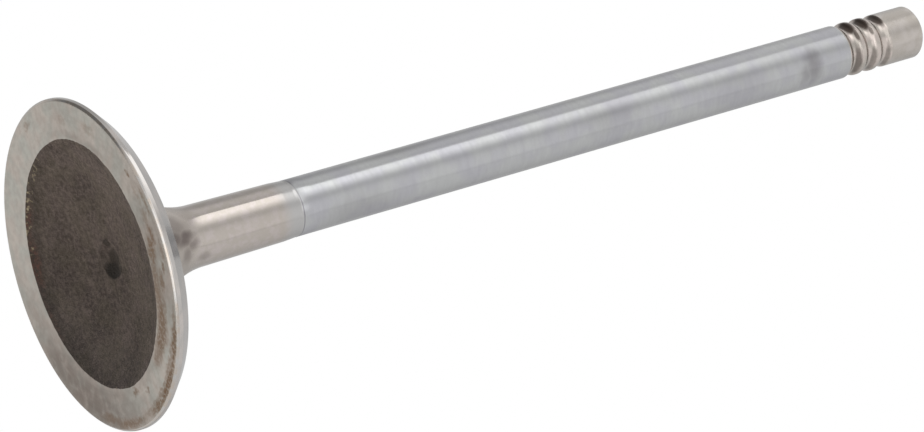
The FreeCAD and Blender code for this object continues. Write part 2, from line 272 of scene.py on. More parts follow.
def neck_runs(size, seat_end):
    """The back of the head, the sweep that touches it and the tapered neck, and the neck's short cone."""
    stem_r = size.stem_diameter / 2
    neck_r = stem_r + size.neck_swell
    back = (math.sin(size.back_angle), math.cos(size.back_angle))
    side = (math.cos(size.neck_taper), math.sin(size.neck_taper))
    back_offset = back[0] * seat_end[0] + back[1] * seat_end[1] + size.fillet_radius
    side_offset = side[0] * neck_r + side[1] * size.neck_height + size.fillet_radius
    spread = back[0] * side[1] - back[1] * side[0]
    centre = (
        (back_offset * side[1] - back[1] * side_offset) / spread,
        (back[0] * side_offset - back_offset * side[0]) / spread,
    )
    back_touch = tuple(c - size.fillet_radius * n for c, n in zip(centre, back))
    neck_touch = tuple(c - size.fillet_radius * n for c, n in zip(centre, side))
    half_way = math.radians(225)
    sweep_start = math.radians(270) - size.back_angle
    sweep_end = math.radians(180) + size.neck_taper
    neck_end = (neck_r, size.neck_height)
    cone_end = (stem_r - size.plating_step, size.plating_height)
    return [
        ("turned_back", straight(seat_end, back_touch, BACK_STEP), 0.0),
        ("turned_back", bow(centre, size.fillet_radius, sweep_start, half_way, SWEEP_STEP), 0.0),
        ("polished_neck", bow(centre, size.fillet_radius, half_way, sweep_end, SWEEP_STEP), 0.0),
        ("polished_neck", straight(neck_touch, neck_end, NECK_STEP), WORN_NECK),
        ("polished_neck", straight(neck_end, cone_end, EDGE_STEP), 0.0),
    ]


def groove_runs(size, middle, above):
    """One keeper groove with its rolled edges, up to the surface above it, all meeting smoothly."""
    stem_r = size.stem_diameter / 2
    bead_r = size.groove_radius
    edge_r = size.groove_edge_round
    bead = (stem_r - size.groove_depth + bead_r, middle)
    deep = [bead[0] - (surface - edge_r) for surface in (stem_r, above)]
    reach = [math.sqrt((bead_r + edge_r) ** 2 - down ** 2) for down in deep]
    lean = [math.atan2(along, down) for along, down in zip(reach, deep)]
    lower = bow((stem_r - edge_r, middle - reach[0]), edge_r, 0.0, lean[0], BEAD_STEP)
    groove = bow(bead, bead_r, math.pi + lean[0], math.pi - lean[1], 2 * BEAD_STEP)
    upper = bow((above - edge_r, middle + reach[1]), edge_r, -lean[1], 0.0, BEAD_STEP)
    return lower, groove, upper


def stem_runs(size):
    """The plated stem, then each keeper groove with the land above it, then the tip."""
    stem_r = size.stem_diameter / 2
    tip_r = stem_r - size.tip_relief
    top = size.overall_length
    edge = size.tip_chamfer
    low = (stem_r, size.plating_height + size.plating_step)
    # A short step beside each groove, so that the smooth shading of its edge stays there.
    short = 0.1 * MM
    runs = [("hard_chrome", [(stem_r - size.plating_step, size.plating_height), low], 0.0)]
    finish = "hard_chrome"
    for k in reversed(range(size.groove_count)):
        middle = top - size.groove_setback - k * size.groove_pitch
        lower, groove, upper = groove_runs(size, middle, tip_r if k == 0 else stem_r)
        near = (stem_r, max(low[1], lower[0][1] - short))
        runs += [
            (finish, straight(low, near, STEM_STEP) + lower[:1], 0.0),
            ("keeper_groove", lower, 0.0), ("keeper_groove", groove, 0.0), ("keeper_groove", upper, 0.0),
        ]
        low = upper[-1]
        finish = "keeper_groove"
    near = (tip_r, low[1] + short)
    return runs + [
        ("ground_tip", [low] + straight(near, (tip_r, top - edge), TIP_STEP), WORN_TIP),
        ("ground_tip", straight((tip_r, top - edge), (tip_r - edge, top), EDGE_STEP), WORN_TIP),
        ("ground_tip", straight((tip_r - edge, top), (0.0, top), EDGE_STEP), 0.0),
    ]


def ease_corners(runs):
    """Join the runs, rounding the corner after each, into points and the finish of each step between.

    A straight step is kept on both sides of a rounding, so that its smooth shading ends there.
    """
    steps = 4
    longest_hold = 0.06 * MM
    clear = 1.05
    points = list(runs[0][1])
    finishes = [runs[0][0]] * (len(points) - 1)
    for (_, _, rounding), (finish, run, _) in zip(runs, runs[1:]):
        if rounding == 0.0:
            points += run[1:]
            finishes += [finish] * (len(run) - 1)
            continue
        corner = Vector(points[-1])
        before = (corner - Vector(points[-2])).normalized()
        after = (Vector(run[1]) - corner).normalized()
        bend = before.angle(after)
        trim = rounding * math.tan(bend / 2)
        hold = trim + min(0.5 * rounding, longest_hold)
        while (Vector(points[-1]) - corner).length < hold * clear:
            points.pop()
            finishes.pop()
        side = math.copysign(1.0, before.cross(after))
        inward = Vector((-before.y, before.x)) * side
        middle = corner - before * trim + inward * rounding
        arc = [
            middle + rounding * (before * math.sin(bend * k / steps) - inward * math.cos(bend * k / steps))
            for k in range(steps + 1)
        ]
        eased = [corner - before * hold, *arc, corner + after * hold]
        rest = [place for place in run[1:] if (Vector(place) - corner).length > hold * clear]
        earlier = finishes[-1]
        for k, place in enumerate(eased):
            points.append(tuple(place))
            finishes.append(earlier if k <= 1 + steps // 2 else finish)
        points += rest
        finishes += [finish] * len(rest)
    return points, finishes


# The valve's mesh.

def scale_height(place, size):
    """How far the forge scale stands off the dish at a place."""
    lumps = (share * noise.noise(place / width + seed) for width, share, seed in SCALE_NOISE)
    return size.scale_relief * sum(lumps)


def rings(points, finishes, size):
    """The vertices of each ring of the turned valve, the two on the axis with one vertex each.

    The forged dish is a little off the turned axis, so the rings are pushed over between the dimple,
    which is on the axis, and the rim, which is round. The dish's edge wanders, which dies out on both
    sides of it, and the scale's relief dies out just inside it.
    """
    dish_r = size.dish_diameter / 2
    dimple_r = size.dimple_diameter / 2
    ball = (dish_r ** 2 + size.dish_depth ** 2) / (2 * size.dish_depth)
    round_from = size.head_diameter / 2 - 1.3 * MM
    wander_fades = 0.8 * MM
    relief_fades = 0.4 * MM
    # The share of the dish's offset at each radius.
    pushes = (
        (0.0, 0.0), (dimple_r, 0.0), (0.5 * dish_r, 1.0), (dish_r + WORN_DISH, 1.0), (round_from, 0.0),
    )
    turns = [2 * math.pi * k / size.segments for k in range(size.segments)]
    outward = [Vector((math.sin(turn), -math.cos(turn), 0.0)) for turn in turns]
    middle = Vector((math.sin(size.dish_turn), -math.cos(size.dish_turn), 0.0)) * size.dish_offset
    wander = [
        size.dish_wander * (noise.noise(out * 4.0) + 0.7 * noise.noise(out * 30.0 + Vector((5, 1, 2))))
        for out in outward
    ]
    for (radius, height), finish in zip(points, [*finishes, finishes[-1]]):
        if radius < 0.001 * MM:
            yield [Vector((0.0, 0.0, height))]
            continue
        in_dish = finish == "forge_scale"
        push = between(radius, pushes) if in_dish or finish == "faced_ring" else 0.0
        by_edge = max(0.0, 1.0 - abs(radius - dish_r) / wander_fades) if height < size.dish_depth else 0.0
        inside = min(1.0, max(0.0, (dish_r - radius) / relief_fades))
        in_bowl = min(1.0, max(0.0, (radius - 0.7 * dimple_r) / (0.3 * dimple_r)))
        ring = []
        for out, shift in zip(outward, wander):
            reach = radius + shift * by_edge
            place = out * reach + middle * push + Vector((0.0, 0.0, height))
            if in_dish:
                # The rings that are pushed over by less than the dish lie on the same ball as the rest.
                off = (place - middle).xy.length_squared
                bowl = math.sqrt(ball ** 2 - off) - math.sqrt(ball ** 2 - reach ** 2)
                place.z += bowl * in_bowl + scale_height(place, size) * inside
            ring.append(place)
        yield ring


def flat_places(points, size):
    """Where each ring lies on the flat map for baking: a function of step and column for each vertex.

    The map is a square with the face and the back of the head as discs, the stem as two strips and the
    end of the stem as a small disc. All keep their real size, so no finish is baked more coarsely.
    """
    along = [0.0]
    for start, end in zip(points, points[1:]):
        along.append(along[-1] + math.dist(start, end))
    near_rim = size.head_diameter / 2 - 0.05 * MM
    near_end = size.overall_length - 0.01 * MM
    waist_r = size.stem_diameter
    rim = max(k for k, (radius, _) in enumerate(points) if radius > near_rim)
    waist = next(k for k, (radius, _) in enumerate(points) if k > rim and radius < waist_r)
    tip = next(k for k, (_, height) in enumerate(points) if height > near_end)
    halfway = next(k for k in range(waist, tip) if along[k] > (along[waist] + along[tip]) / 2)
    gap = 0.7 * MM
    front_r = along[rim]
    back_r = points[waist][0] + along[waist] - along[rim]
    strip = math.pi * size.stem_diameter
    end_r = along[-1] - along[tip]
    side = 2 * front_r + 2 * back_r + 3 * gap
    low = 2 * back_r + 2 * gap

    def disc(x, y, reach, column):
        turn = 2 * math.pi * column / size.segments
        return (x + reach * math.sin(turn)) / side, (y - reach * math.cos(turn)) / side

    def band(start, base, k, column):
        return (gap + along[k] - along[start]) / side, (base + strip * column / size.segments) / side

    def place(step, k, column):
        if step < rim:
            return disc(gap + front_r, gap + front_r, along[k], column)
        if step < waist:
            reach = points[waist][0] + along[waist] - along[k]
            return disc(2 * gap + 2 * front_r + back_r, gap + back_r, reach, column)
        if step < halfway:
            return band(waist, low, k, column)
        if step < tip:
            return band(halfway, low + strip + gap, k, column)
        return disc(side - gap - end_r, low + end_r, along[-1] - along[k], column)

    return place


def turn_mesh(size):
    """Turn the section into a mesh, with a finish for every face and a flat map for baking."""
    head = head_runs(size)
    seat_end = head[-1][1][-1]
    points, finishes = ease_corners(head + neck_runs(size, seat_end) + stem_runs(size))
    vertices = []
    first = []
    lone = []
    for ring in rings(points, finishes, size):
        first.append(len(vertices))
        lone.append(len(ring) == 1)
        vertices += ring
    flat = flat_places(points, size)
    faces = []
    slots = []
    map_places = []
    for step, finish in enumerate(finishes):
        slot = FINISHES.index(finish)
        for column in range(size.segments):
            corners = [(step, column), (step, column + 1), (step + 1, column + 1), (step + 1, column)]
            if lone[step]:
                del corners[1]
            elif lone[step + 1]:
                del corners[2]
            faces.append([first[k] + (0 if lone[k] else j % size.segments) for k, j in corners])
            slots.append(slot)
            map_places += [flat(step, k, j) for k, j in corners]
    mesh = bpy.data.meshes.new("valve_turned")
    mesh.from_pydata(vertices, [], faces)
    mesh.polygons.foreach_set("material_index", slots)
    mesh.polygons.foreach_set("use_smooth", [True] * len(faces))
    layer = mesh.uv_layers.new(name="OFBake")
    layer.data.foreach_set("uv", [value for pair in map_places for value in pair])
    mesh.update()
    return mesh


# Materials. Patterns are measured from the valve's own axis and face, in real millimetres.

def put(tree, kind, inputs=None, out=0, **settings):
    """Add a node, fill its inputs with values or links, and return one of its outputs, if any."""
    node = tree.nodes.new("ShaderNode" + kind)
    for name, value in settings.items():
        setattr(node, name, value)
    for key, value in (inputs or {}).items():
        socket = node.inputs[key]
        if isinstance(value, bpy.types.NodeSocket):
            tree.links.new(value, socket)
        elif socket.type == "RGBA":
            socket.default_value = (*value, 1.0)
        else:
            socket.default_value = value
    return node.outputs[out] if node.outputs else None


def new_tree(name):
    """A new material with an empty node tree."""
    material = bpy.data.materials.new(name)
    material.use_nodes = True
    material.node_tree.nodes.clear()
    return material, material.node_tree


def blotches(tree, across, seed, low=0.35, high=0.65, detail=2.0):
    """Soft uneven patches, about across metres wide: 0 between them and 1 inside."""
    place = put(tree, "TexCoord", out="Object")
    moved = put(tree, "VectorMath", {0: place, 1: (seed, 2 * seed, 3 * seed)}, operation="ADD")
    lumps = put(tree, "TexNoise", {"Vector": moved, "Scale": 1.0 / across, "Detail": detail})
    return put(
        tree, "MapRange", {"Value": lumps, "From Min": low, "From Max": high},
        interpolation_type="SMOOTHSTEP",
    )


def tool_marks(tree, pitch, seed, flat=False, waver=1.5):
    """Marks that run round the axis, pitch apart: up the stem, or out across the face if flat.

    The real marks are 0.02 to 0.05 mm apart, too fine to show, so these are drawn several times coarser.
    """
    place = put(tree, "TexCoord", out="Object")
    round_only = put(tree, "VectorMath", {0: place, 1: (1.0, 1.0, 0.0)}, operation="MULTIPLY")
    outward = put(tree, "VectorMath", {0: round_only}, operation="NORMALIZE")
    if flat:
        line = put(tree, "VectorMath", {0: round_only}, out="Value", operation="LENGTH")
    else:
        line = put(tree, "SeparateXYZ", {0: place}, out="Z")
    spaced = put(tree, "Math", {0: line, 1: 1.0 / pitch}, operation="MULTIPLY")
    lifted = put(tree, "CombineXYZ", {"Z": spaced})
    slow = put(tree, "VectorMath", {0: outward, 1: (waver, waver, 0.0), 2: lifted}, operation="MULTIPLY_ADD")
    moved = put(tree, "VectorMath", {0: slow, 1: (seed, seed, seed)}, operation="ADD")
    return put(tree, "TexNoise", {"Vector": moved, "Scale": 1.0, "Detail": 3.0, "Roughness": 0.6})


def round_place(tree, ragged, ragged_across):
    """Places as (turn in degrees, radius in mm, height in mm), pushed about for ragged outlines."""
    place = put(tree, "TexCoord", out="Object")
    across = put(tree, "VectorMath", {0: place, 1: (1.0, 1.0, 0.0)}, operation="MULTIPLY")
    radius = put(tree, "VectorMath", {0: across}, out="Value", operation="LENGTH")
    x = put(tree, "SeparateXYZ", {0: place}, out="X")
    y = put(tree, "SeparateXYZ", {0: place}, out="Y")
    height = put(tree, "SeparateXYZ", {0: place}, out="Z")
    forward = put(tree, "Math", {0: y, 1: -1.0}, operation="MULTIPLY")
    turn = put(tree, "Math", {0: x, 1: forward}, operation="ARCTAN2")
    scaled = put(tree, "CombineXYZ", {"X": turn, "Y": radius, "Z": height})
    units = (math.degrees(1.0), 1.0 / MM, 1.0 / MM)
    real = put(tree, "VectorMath", {0: scaled, 1: units}, operation="MULTIPLY")
    push = put(tree, "TexNoise", {"Vector": place, "Scale": 1.0 / ragged_across, "Detail": 3.0}, out="Color")
    centred = put(tree, "VectorMath", {0: push, 1: (0.5, 0.5, 0.5)}, operation="SUBTRACT")
    return put(tree, "VectorMath", {0: centred, 1: ragged, 2: real}, operation="MULTIPLY_ADD")


def stains(tree, places, spots, soft=0.6):
    """The strength of the strongest oval spot at each place. A spot is (middle, half size, strength)."""
    total = 0.0
    for middle, half, strength in spots:
        local = put(
            tree, "Mapping", {"Vector": places, "Location": middle, "Scale": half}, vector_type="TEXTURE",
        )
        reach = put(tree, "VectorMath", {0: local}, out="Value", operation="LENGTH")
        edge = {"From Min": 1.0 - soft, "From Max": 1.0 + soft, "To Min": strength, "To Max": 0.0}
        spot = put(tree, "MapRange", {"Value": reach, **edge}, interpolation_type="SMOOTHSTEP")
        total = put(tree, "Math", {0: total, 1: spot}, operation="MAXIMUM")
    return total


# A spot's half size where it has no end.
ANY = 1000.0

# Spots as (turn in degrees, radius in mm, height in mm), half size likewise and strength. One that
# reaches well past half a turn is there twice, a whole turn apart.
RING_STAINS = (
    ((36, 21.9, 0), (12, 0.5, ANY), 0.95), ((54, 21.95, 0), (12, 0.65, ANY), 1.0),
    ((66, 21.9, 0), (8, 0.6, ANY), 0.9), ((34, 18.8, 0), (16, 1.1, ANY), 0.85),
    ((17, 18.4, 0), (14, 0.9, ANY), 0.7), ((2, 21.7, 0), (4, 0.35, ANY), 0.45),
    ((0, 19.2, 0), (5, 0.7, ANY), 0.85), ((-5, 20.2, 0), (3.5, 0.5, ANY), 0.8),
    ((3, 18.5, 0), (5, 0.6, ANY), 0.75), ((-12, 20.2, 0), (3, 0.6, ANY), 0.5),
    ((-16, 21.7, 0), (6, 0.4, ANY), 0.6), ((13, 19.9, 0), (4, 0.5, ANY), 0.75),
    ((-29, 20.9, 0), (1.6, 0.3, ANY), 0.8), ((49, 18.6, 0), (4, 0.7, ANY), 0.6),
    ((69, 19.0, 0), (1.5, 0.3, ANY), 0.6), ((79, 17.9, 0), (2, 0.45, ANY), 0.7),
    ((90, 21.7, 0), (11, 0.6, ANY), 0.7), ((70, 21.8, 0), (4, 0.35, ANY), 0.45),
    ((-106, 21.2, 0), (2.5, 0.5, ANY), 0.4), ((-78, 19.9, 0), (3, 0.6, ANY), 0.2),
    ((-58, 20.4, 0), (4, 0.7, ANY), 0.3), ((8, 20.9, 0), (2, 0.3, ANY), 0.75),
    ((24, 19.9, 0), (3, 0.4, ANY), 0.5), ((105, 21.3, 0), (7, 0.5, ANY), 0.5),
    ((-20, 20.6, 0), (4, 0.4, ANY), 0.3), ((54, 21.3, 0), (20, 0.4, ANY), 0.6),
    ((66, 21.5, 0), (14, 0.5, ANY), 0.45),
)
RING_VEILS = (
    ((124, 20.2, 0), (43, 4.6, ANY), 0.85), ((-236, 20.2, 0), (43, 4.6, ANY), 0.85),
    ((3, 20.0, 0), (30, 4.0, ANY), 0.5), ((-30, 20.0, 0), (16, 3.0, ANY), 0.22),
    ((-74, 20.0, 0), (16, 3.4, ANY), 0.16), ((-58, 18.1, 0), (28, 0.8, ANY), 0.4),
    ((60, 18.1, 0), (24, 1.1, ANY), 0.34), ((-78, 18.0, 0), (9, 0.9, ANY), 0.25),
)
RUST_SPOTS = (
    ((-172, 15.9, 0), (12, 0.8, ANY), 0.9), ((188, 15.9, 0), (12, 0.8, ANY), 0.9),
    ((-150, 16.2, 0), (9, 0.6, ANY), 0.8), ((158, 16.1, 0), (9, 0.4, ANY), 0.4),
)
EDGE_CHIPS = (
    ((-145, 16.4, 0), (34, 0.9, ANY), 1.0), ((215, 16.4, 0), (34, 0.9, ANY), 1.0),
    ((108, 16.7, 0), (24, 0.4, ANY), 0.5),
)
# Painted shade along the inner side of the dish's edge, on the side at turn 180.
DISH_EDGE_SHADE = (((180, 15.9, 0), (70, 1.3, ANY), 0.3), ((-180, 15.9, 0), (70, 1.3, ANY), 0.3))
# Soot and painted shade in the dish's dimple: darker in its middle, darkest on its wall near turn 112, with
# dark spots at its rim.
DIMPLE_SOOT_AND_SHADE = (
    ((0, 0, 0), (ANY, 1.45, ANY), 0.8), ((0, 0, 0), (ANY, 2.6, ANY), 0.22),
    ((112, 1.65, 0), (58, 1.15, ANY), 1.0),
    ((-92, 2.3, 0), (20, 0.6, ANY), 0.85), ((46, 2.45, 0), (30, 0.4, ANY), 0.85),
)
# Darker patches in the sweep at the foot of the neck, mostly on the side towards turn 0.
NECK_DARK_PATCHES = (
    ((-3, 8.0, 10.9), (11, ANY, 1.2), 0.75), ((3, 6.0, 12.3), (9, ANY, 1.3), 0.8),
    ((24, 7.0, 12.4), (14, ANY, 0.9), 0.5), ((44, 7.0, 15.6), (8, ANY, 0.9), 0.35),
    ((-42, 6.0, 14.2), (14, ANY, 1.4), 0.3), ((-20, 8.0, 11.4), (18, ANY, 2.0), 0.5),
    ((-3, 6.0, 12.6), (9, ANY, 1.2), 0.8), ((13, 6.0, 13.6), (10, ANY, 0.9), 0.6),
)
STEM_VEILS = (
    ((15, 0, 121.0), (34, ANY, 1.3), 0.55), ((28, 0, 119.4), (22, ANY, 0.9), 0.4),
    ((40, 0, 41.0), (24, ANY, 5.0), 0.25), ((-62, 0, 50.0), (14, ANY, 4.0), 0.25),
    ((0, 0, 84.0), (30, ANY, 4.0), 0.16), ((20, 0, 107.0), (30, ANY, 5.0), 0.12),
)
PLATING_EDGE = (((0, 0, 31.72), (ANY, ANY, 0.09), 0.25), ((25, 0, 31.72), (52, ANY, 0.09), 0.6))
# Burnt oil in the keeper grooves, with painted shade: the walls that face the head are darkened to stand in
# for the dark reflection they would show.
GROOVE_OIL_AND_SHADE = (
    ((-60, 0, 130.1), (27, ANY, 0.75), 1.0), ((-60, 0, 132.9), (27, ANY, 0.75), 1.0),
    ((-60, 0, 135.7), (27, ANY, 0.7), 0.95), ((-26, 0, 130.4), (16, ANY, 0.3), 0.85),
    ((-28, 0, 133.2), (12, ANY, 0.25), 0.7), ((42, 0, 129.9), (44, ANY, 0.5), 0.72),
    ((50, 0, 132.8), (38, ANY, 0.4), 0.55), ((50, 0, 135.6), (38, ANY, 0.35), 0.5),
)


def end_as_metal(tree, tone, rough, extra=None):
    """End a material as bare metal of one tone and roughness, with extra inputs of its own."""
    inputs = {"Base Color": tone, "Metallic": 1.0, "Roughness": rough, **(extra or {})}
    put(tree, "OutputMaterial", {"Surface": put(tree, "BsdfPrincipled", inputs)})


def forge_scale(colours):
    """Hot forged steel, left as it came from the die: dull brown-black oxide, grainy, chipped at its rim."""
    material, tree = new_tree("hot_forged_steel_scale")
    place = put(tree, "TexCoord", out="Object")
    grain = put(
        tree, "TexNoise",
        {"Vector": place, "Scale": 1.0 / (0.62 * MM), "Detail": 4.0, "Roughness": 0.8},
    )
    bright = put(tree, "MapRange", {"Value": grain, "From Min": 0.40, "From Max": 0.62})
    broad = put(tree, "Math", {0: blotches(tree, 5.0 * MM, 4.0), 1: 0.3}, operation="MULTIPLY")
    # Lighter on the grain's high spots: worn scale, and painted light on the peaks of the relief that the
    # same noise raises.
    worn_and_lit_peaks = put(tree, "Math", {0: bright, 1: 0.7, 2: broad}, operation="MULTIPLY_ADD")
    olive = put(tree, "Math", {0: blotches(tree, 3.0 * MM, 9.0), 1: 0.22}, operation="MULTIPLY")
    places = round_place(tree, (8.0, 1.0, 0.0), 1.2 * MM)
    rusty = put(tree, "Math", {0: stains(tree, places, RUST_SPOTS), 1: bright}, operation="MULTIPLY")
    # Painted shade: the dimple, with its soot, and a band inside the dish's edge are darkened.
    darkened = stains(tree, round_place(tree, (6.0, 0.25, 0.0), 0.8 * MM), DIMPLE_SOOT_AND_SHADE, 0.25)
    darkened = put(tree, "Math", {0: darkened, 1: stains(tree, places, DISH_EDGE_SHADE, 0.8)}, operation="MAXIMUM")
    chips = put(tree, "TexNoise", {"Vector": place, "Scale": 1.0 / (0.55 * MM), "Detail": 2.0})
    edge = stains(tree, places, EDGE_CHIPS, 0.8)
    chipped = put(tree, "Math", {0: edge, 1: 0.22, 2: chips}, operation="MULTIPLY_ADD")
    bare = put(tree, "MapRange", {"Value": chipped, "From Min": 0.75, "From Max": 0.92})
    tone = colours.scale
    for share, shade in (
        (worn_and_lit_peaks, colours.scale_worn_and_lit_peaks), (olive, colours.scale_olive), (rusty, colours.scale_rust),
        (darkened, colours.dimple_soot_and_shade), (bare, colours.bare),
    ):
        tone = put(tree, "Mix", {FACTOR: share, FIRST: tone, SECOND: shade}, MIXED, **COLOURS)
    rough = put(tree, "MapRange", {"Value": bare, "To Min": 0.78, "To Max": 0.4})
    lumps = put(tree, "Bump", {"Height": grain, "Distance": 0.3 * MM, "Strength": 1.0})
    surface = put(tree, "BsdfPrincipled", {
        "Base Color": tone, "Metallic": bare, "Roughness": rough, "Normal": lumps,
        "Specular IOR Level": 0.3,
    })
    put(tree, "OutputMaterial", {"Surface": surface})
    return material


def faced_ring(colours):
    """Faced steel: a flat, fine-turned, satin ring, tinted by heat and spotted with burnt oil."""
    material, tree = new_tree("faced_steel_ring")
    tint = blotches(tree, 3.5 * MM, 7.0)
    mottle = blotches(tree, 0.9 * MM, 2.0, 0.3, 0.7, 3.0)
    mottle = put(tree, "Math", {0: mottle, 1: 0.2}, operation="MULTIPLY")
    veil = stains(tree, round_place(tree, (34.0, 3.0, 0.0), 5.0 * MM), RING_VEILS, 0.8)
    patchy = blotches(tree, 1.6 * MM, 5.0, 0.2, 0.6, 3.0)
    patchy = put(tree, "MapRange", {"Value": patchy, "To Min": 0.6, "To Max": 1.0})
    veil = put(tree, "Math", {0: veil, 1: patchy}, operation="MULTIPLY")
    burnt = stains(tree, round_place(tree, (9.0, 1.6, 0.0), 0.9 * MM), RING_STAINS)
    speckle = blotches(tree, 0.45 * MM, 3.0, 0.3, 0.55, 3.0)
    speckle = put(tree, "MapRange", {"Value": speckle, "To Min": 0.45, "To Max": 1.0})
    burnt = put(tree, "Math", {0: burnt, 1: speckle}, operation="MULTIPLY")
    tone = colours.faced
    for share, shade in (
        (tint, colours.faced_cool), (mottle, colours.soot), (veil, colours.soot), (burnt, colours.stain),
    ):
        tone = put(tree, "Mix", {FACTOR: share, FIRST: tone, SECOND: shade}, MIXED, **COLOURS)
    marks = tool_marks(tree, 0.22 * MM, 3.0, flat=True)
    rough = put(
        tree, "MapRange",
        {"Value": marks, "From Min": 0.3, "From Max": 0.7, "To Min": 0.32, "To Max": 0.42},
    )
    rough = put(tree, "Math", {0: burnt, 1: 0.15, 2: rough}, operation="MULTIPLY_ADD")
    lines = put(tree, "Bump", {"Height": marks, "Distance": 0.003 * MM})
    end_as_metal(tree, tone, rough, {"Normal": lines})
    return material


def broken_edge(colours):
    """The steel's edge, broken with a stone: bright, smooth and rounded."""
    material, tree = new_tree("stoned_steel_edge")
    tint = blotches(tree, 1.5 * MM, 5.0)
    tone = put(tree, "Mix", {FACTOR: tint, FIRST: colours.edge, SECOND: colours.faced}, MIXED, **COLOURS)
    rough = put(tree, "MapRange", {"Value": blotches(tree, 0.8 * MM, 9.0), "To Min": 0.16, "To Max": 0.26})
    end_as_metal(tree, tone, rough)
    return material


def ground_seat(colours):
    """Ground steel: an even, cool band with fine marks round it, where the valve seals."""
    material, tree = new_tree("ground_steel_seat")
    tint = blotches(tree, 2.5 * MM, 6.0)
    tone = put(tree, "Mix", {FACTOR: tint, FIRST: colours.seat, SECOND: colours.edge}, MIXED, **COLOURS)
    marks = tool_marks(tree, 0.12 * MM, 5.0)
    rough = put(
        tree, "MapRange",
        {"Value": marks, "From Min": 0.3, "From Max": 0.7, "To Min": 0.11, "To Max": 0.18},
    )
    lines = put(tree, "Bump", {"Height": marks, "Distance": 0.001 * MM})
    end_as_metal(tree, tone, rough, {"Normal": lines})
    return material


def underhead(colours, name, rough_low, rough_high):
    """Steel turned and tumbled behind the head and polished up the neck, warm from heat, darker in patches
    at the foot of the neck.
    """
    material, tree = new_tree(name)
    places = round_place(tree, (14.0, 0.0, 2.0), 2.2 * MM)
    height = put(tree, "SeparateXYZ", {0: places}, out="Z")
    up = put(
        tree, "MapRange", {"Value": height, "From Min": 12.5, "From Max": 15.5},
        interpolation_type="SMOOTHSTEP",
    )
    even = put(tree, "SeparateXYZ", {0: round_place(tree, (0.0, 0.0, 0.3), 2.0 * MM)}, out="Z")
    cool = put(
        tree, "MapRange", {"Value": even, "From Min": 27.8, "From Max": 30.4},
        interpolation_type="SMOOTHSTEP",
    )
    patchy = blotches(tree, 1.1 * MM, 3.0, 0.35, 0.6, 4.0)
    # Darker patches at the foot of the neck.
    darkened = stains(tree, places, NECK_DARK_PATCHES, 0.8)
    tone = colours.back
    for share, shade in (
        (up, colours.neck), (patchy, colours.neck_dull), (cool, colours.neck_cool),
        (darkened, colours.neck_dark_patch),
    ):
        tone = put(tree, "Mix", {FACTOR: share, FIRST: tone, SECOND: shade}, MIXED, **COLOURS)
    marks = tool_marks(tree, 0.2 * MM, 4.0)
    shine = put(tree, "MapRange", {"Value": up, "To Min": rough_high, "To Max": rough_low})
    shine = put(tree, "Math", {0: cool, 1: 0.12, 2: shine}, operation="MULTIPLY_ADD")
    rough = put(tree, "Math", {0: marks, 1: 0.05, 2: shine}, operation="MULTIPLY_ADD")
    lines = put(tree, "Bump", {"Height": marks, "Distance": 0.002 * MM})
    end_as_metal(tree, tone, rough, {"Normal": lines})
    return material


def hard_chrome(colours):
    """Hard chrome, centreless ground: cool grey, faintly violet, its gloss drawn out along the stem."""
    material, tree = new_tree("ground_hard_chrome")
    tint = blotches(tree, 4.0 * MM, 8.0)
    marks = tool_marks(tree, 0.7 * MM, 6.0)
    streak = put(
        tree, "MapRange",
        {"Value": marks, "From Min": 0.35, "From Max": 0.65, "To Min": 0.0, "To Max": 0.07},
    )
    veil = stains(tree, round_place(tree, (18.0, 0.0, 2.0), 2.0 * MM), STEM_VEILS, 0.8)
    foot = stains(tree, round_place(tree, (0.0, 0.0, 0.1), 1.0 * MM), PLATING_EDGE, 0.3)
    tone = put(
        tree, "Mix", {FACTOR: tint, FIRST: colours.chrome, SECOND: colours.chrome_cool}, MIXED, **COLOURS,
    )
    for share in (streak, veil, foot):
        tone = put(tree, "Mix", {FACTOR: share, FIRST: tone, SECOND: colours.stem_soot}, MIXED, **COLOURS)
    rough = put(
        tree, "MapRange",
        {"Value": marks, "From Min": 0.3, "From Max": 0.7, "To Min": 0.19, "To Max": 0.26},
    )
    lines = put(tree, "Bump", {"Height": marks, "Distance": 0.001 * MM})
    along = put(tree, "Tangent", direction_type="RADIAL", axis="Z")
    drawn_out = {"Anisotropic": 0.7, "Anisotropic Rotation": 0.25, "Tangent": along}
    end_as_metal(tree, tone, rough, {"Normal": lines, **drawn_out})
    return material


def keeper_groove(colours):
    """Rolled keeper grooves: smooth, pinkish steel with burnt oil and painted shade on the walls that face
    the head.
    """
    material, tree = new_tree("oil_stain_and_shade_keeper_grooves")
    mottle = blotches(tree, 1.4 * MM, 2.0)
    # Burnt oil, and painted shade on the grooves' walls that face the head.
    oil_and_shade = stains(tree, round_place(tree, (20.0, 0.0, 0.35), 1.3 * MM), GROOVE_OIL_AND_SHADE, 0.35)
    tone = colours.groove
    for share, shade in ((mottle, colours.tip_dull), (oil_and_shade, colours.groove_stain_and_shade)):
        tone = put(tree, "Mix", {FACTOR: share, FIRST: tone, SECOND: shade}, MIXED, **COLOURS)
    rough = put(tree, "MapRange", {"Value": oil_and_shade, "To Min": 0.24, "To Max": 0.4})
    end_as_metal(tree, tone, rough)
    return material


def ground_tip(colours):
    """Induction hardened steel, ground square: warm grey with fine marks round it."""
    material, tree = new_tree("ground_hardened_steel_tip")
    tint = blotches(tree, 2.0 * MM, 4.0)
    tone = put(tree, "Mix", {FACTOR: tint, FIRST: colours.tip, SECOND: colours.tip_dull}, MIXED, **COLOURS)
    marks = tool_marks(tree, 0.3 * MM, 7.0)
    rough = put(
        tree, "MapRange",
        {"Value": marks, "From Min": 0.3, "From Max": 0.7, "To Min": 0.20, "To Max": 0.28},
    )
    lines = put(tree, "Bump", {"Height": marks, "Distance": 0.002 * MM})
    end_as_metal(tree, tone, rough, {"Normal": lines})
    return material


